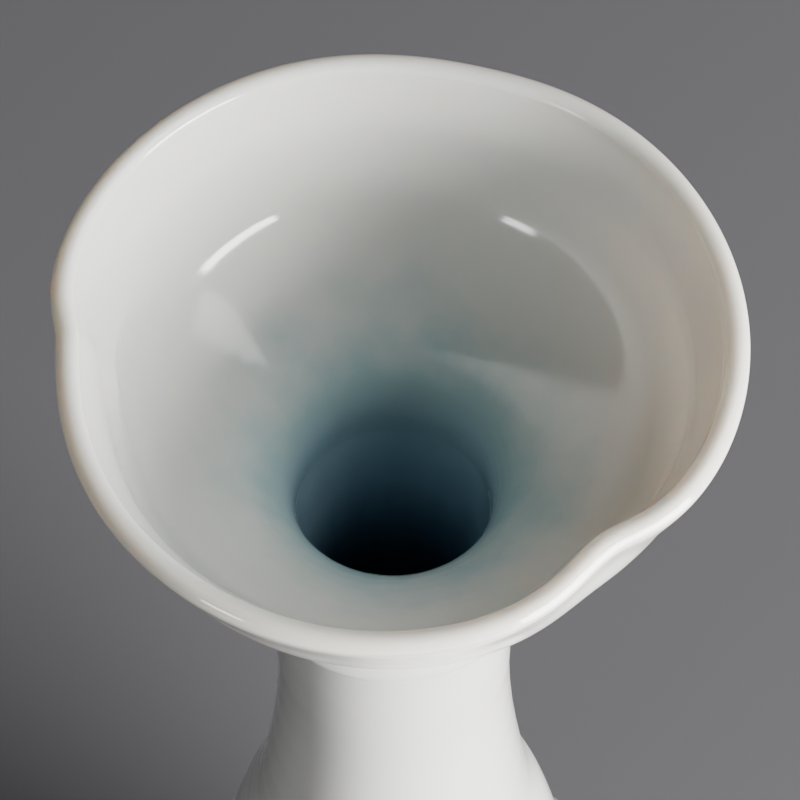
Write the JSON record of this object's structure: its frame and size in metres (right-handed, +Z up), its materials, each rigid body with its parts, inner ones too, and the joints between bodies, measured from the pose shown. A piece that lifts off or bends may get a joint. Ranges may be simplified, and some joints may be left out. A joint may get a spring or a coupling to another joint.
{
  "type": "sake bottle",
  "caption": "Slender white porcelain sake bottle with a pinched, lobed trumpet mouth, a collared long neck lined in blue glaze and a pear-shaped body on a foot ring.",
  "frame": {"origin": "centre of the circle that the foot ring stands on", "axes": "+Z up along the axis of the bottle; the deepest pinch of the rim is at 311 degrees from +X towards +Y, the shallowest at 76 degrees"},
  "size_m": [0.076, 0.076, 0.21],
  "materials": {
    "bare_porcelain": "matt, unglazed, finely sanded",
    "porcelain": "fired white body under the glaze",
    "white_glaze": "clear gloss over white",
    "blue_glaze": "gloss, teal at its edge to deep blue",
    "clear_glaze": "clear gloss"
  },
  "bodies": {
    "root": {"foot_ring": "bare_porcelain", "lower_body": "porcelain", "upper_body": "porcelain", "neck": "porcelain", "mouth": "porcelain", "outer_glaze": "white_glaze", "mouth_glaze": "white_glaze", "blue_neck_glaze": "blue_glaze", "inner_glaze": "clear_glaze", "foot_glaze": "white_glaze"}
  },
  "joints": []
}
